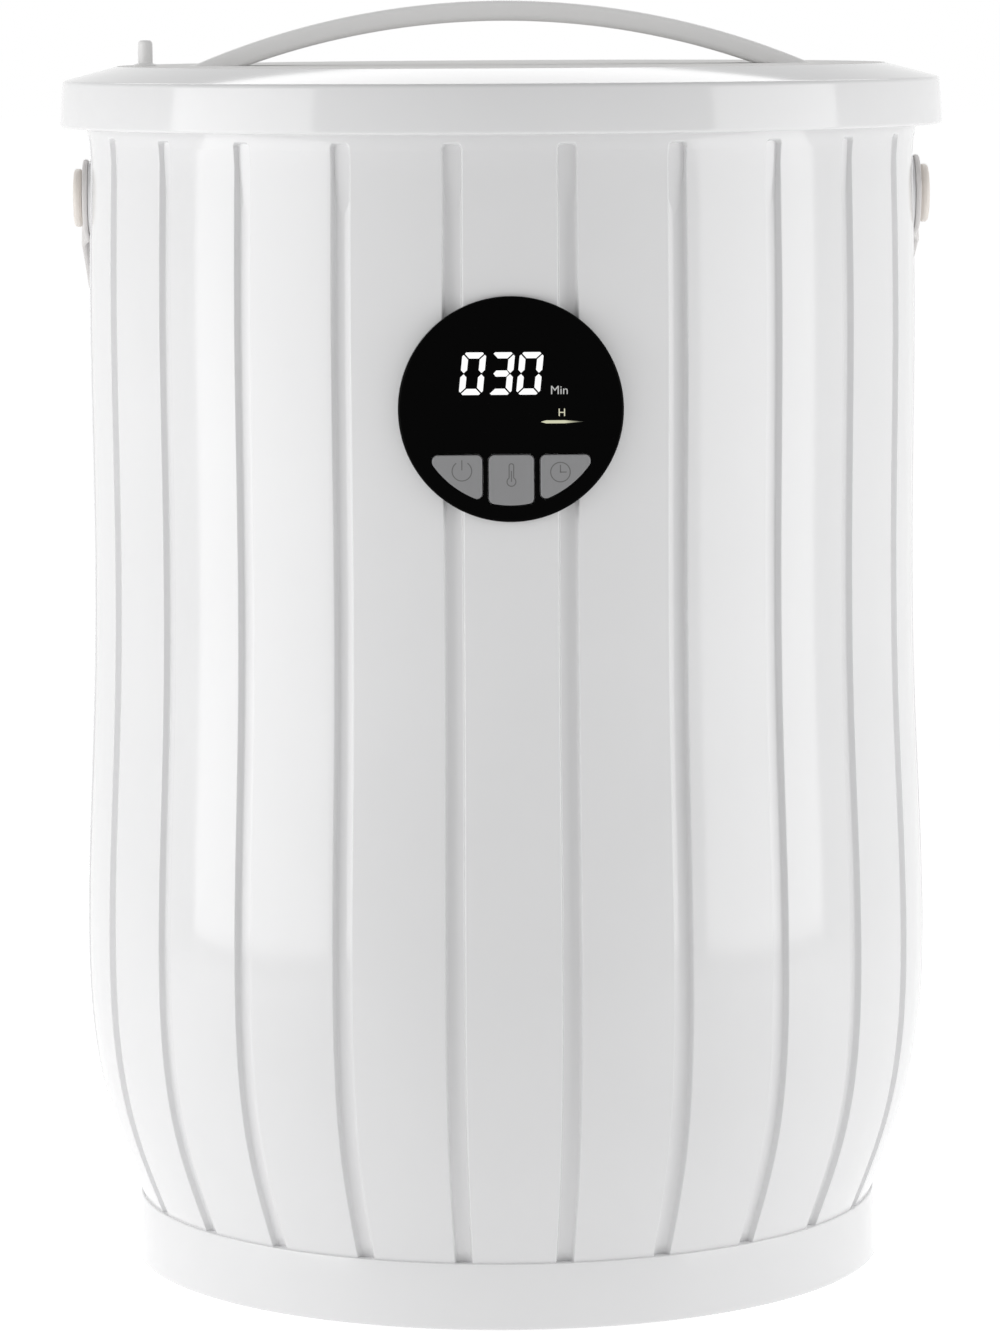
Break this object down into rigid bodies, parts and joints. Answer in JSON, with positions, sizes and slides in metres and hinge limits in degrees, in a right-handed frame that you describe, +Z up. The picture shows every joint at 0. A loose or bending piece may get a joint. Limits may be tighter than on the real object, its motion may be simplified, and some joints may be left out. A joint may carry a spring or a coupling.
{
  "type": "towel warmer bucket",
  "caption": "Ribbed round heated towel bucket with lift-off lid, arched lid handle, swinging carry strap and a round front control panel with keys.",
  "frame": {"origin": "on the floor at the centre of the base", "axes": "+Z up through the lid, -Y out of the front control panel, +X to the right seen from the front"},
  "size_m": [0.3088, 0.3096, 0.4455],
  "materials": {
    "white_gloss": "glossy moulded white plastic",
    "white_satin": "satin moulded white plastic",
    "strap_white": "warm off-white satin plastic",
    "rivet_cream": "cream satin plastic",
    "black_gloss": "polished black acrylic",
    "black_plastic": "satin black plastic",
    "key_grey": "satin grey plastic",
    "liner_metal": "satin anodised aluminium",
    "heater_metal": "brushed aluminium",
    "steel": "zinc plated steel",
    "silicone": "orange silicone heater mat",
    "seal_grey": "soft silicone",
    "rubber_dark": "soft black rubber",
    "foam": "white glass fibre felt",
    "board_green": "green lacquered board",
    "part_black": "black moulded component",
    "part_blue": "blue component case",
    "wire": "insulated wire"
  },
  "bodies": {
    "bucket": {"outer_shell": "white_gloss", "base_ring": "white_gloss", "bottom_cover": "white_satin", "bottom_screws": "steel", "rubber_feet": "rubber_dark", "inner_liner": "liner_metal", "top_collar": "white_satin", "heater_band": "silicone", "insulation_wrap": "foam", "heater_plate": "heater_metal", "heater_studs": "steel", "thermostat": "part_black", "thermal_fuse": "wire", "temperature_sensor": "steel", "power_board": "board_green", "board_screws": "steel", "terminal_block": "part_black", "board_connector": "wire", "transformer": "part_black", "relay": "part_blue", "capacitor": "part_blue", "heater_leads": "wire", "supply_leads": "wire", "panel_ribbon": "wire", "cord_gland": "white_satin", "panel_housing": "black_plastic", "panel_lens": "black_gloss", "control_board": "board_green", "control_screws": "steel", "display_module": "part_black", "tact_switches": "part_black", "strap_rivets": "rivet_cream", "rivet_washers": "steel"},
    "lid": {"lid_cover": "white_gloss", "lid_liner": "white_satin", "lid_insulation": "foam", "lid_seal": "seal_grey", "lid_screws": "steel", "lid_handle": "white_satin", "lid_handle_screws": "steel", "lid_peg": "white_satin"},
    "strap": {"carry_strap": "strap_white"},
    "power_key": {"power_button": "key_grey", "power_plunger": "part_black"},
    "temperature_key": {"temperature_button": "key_grey", "temperature_plunger": "part_black"},
    "timer_key": {"timer_button": "key_grey", "timer_plunger": "part_black"}
  },
  "joints": [
    {"name": "lid_lift", "type": "slide", "parent": "bucket", "child": "lid", "axis": [0, 0, 1], "range_m": [0, 0.2]},
    {"name": "strap_swing", "type": "hinge", "parent": "bucket", "child": "strap", "pos_m": [0, 0, 0.3774], "axis": [1, 0, 0], "range_deg": [0, 114.4]},
    {"name": "power_press", "type": "slide", "parent": "bucket", "child": "power_key", "axis": [0, 1, 0], "range_m": [0, 0.0008], "stiffness_N_per_m": 400, "springref_m": -0.0005},
    {"name": "temperature_press", "type": "slide", "parent": "bucket", "child": "temperature_key", "axis": [0, 1, 0], "range_m": [0, 0.0008], "stiffness_N_per_m": 400, "springref_m": -0.0005},
    {"name": "timer_press", "type": "slide", "parent": "bucket", "child": "timer_key", "axis": [0, 1, 0], "range_m": [0, 0.0008], "stiffness_N_per_m": 400, "springref_m": -0.0005}
  ]
}
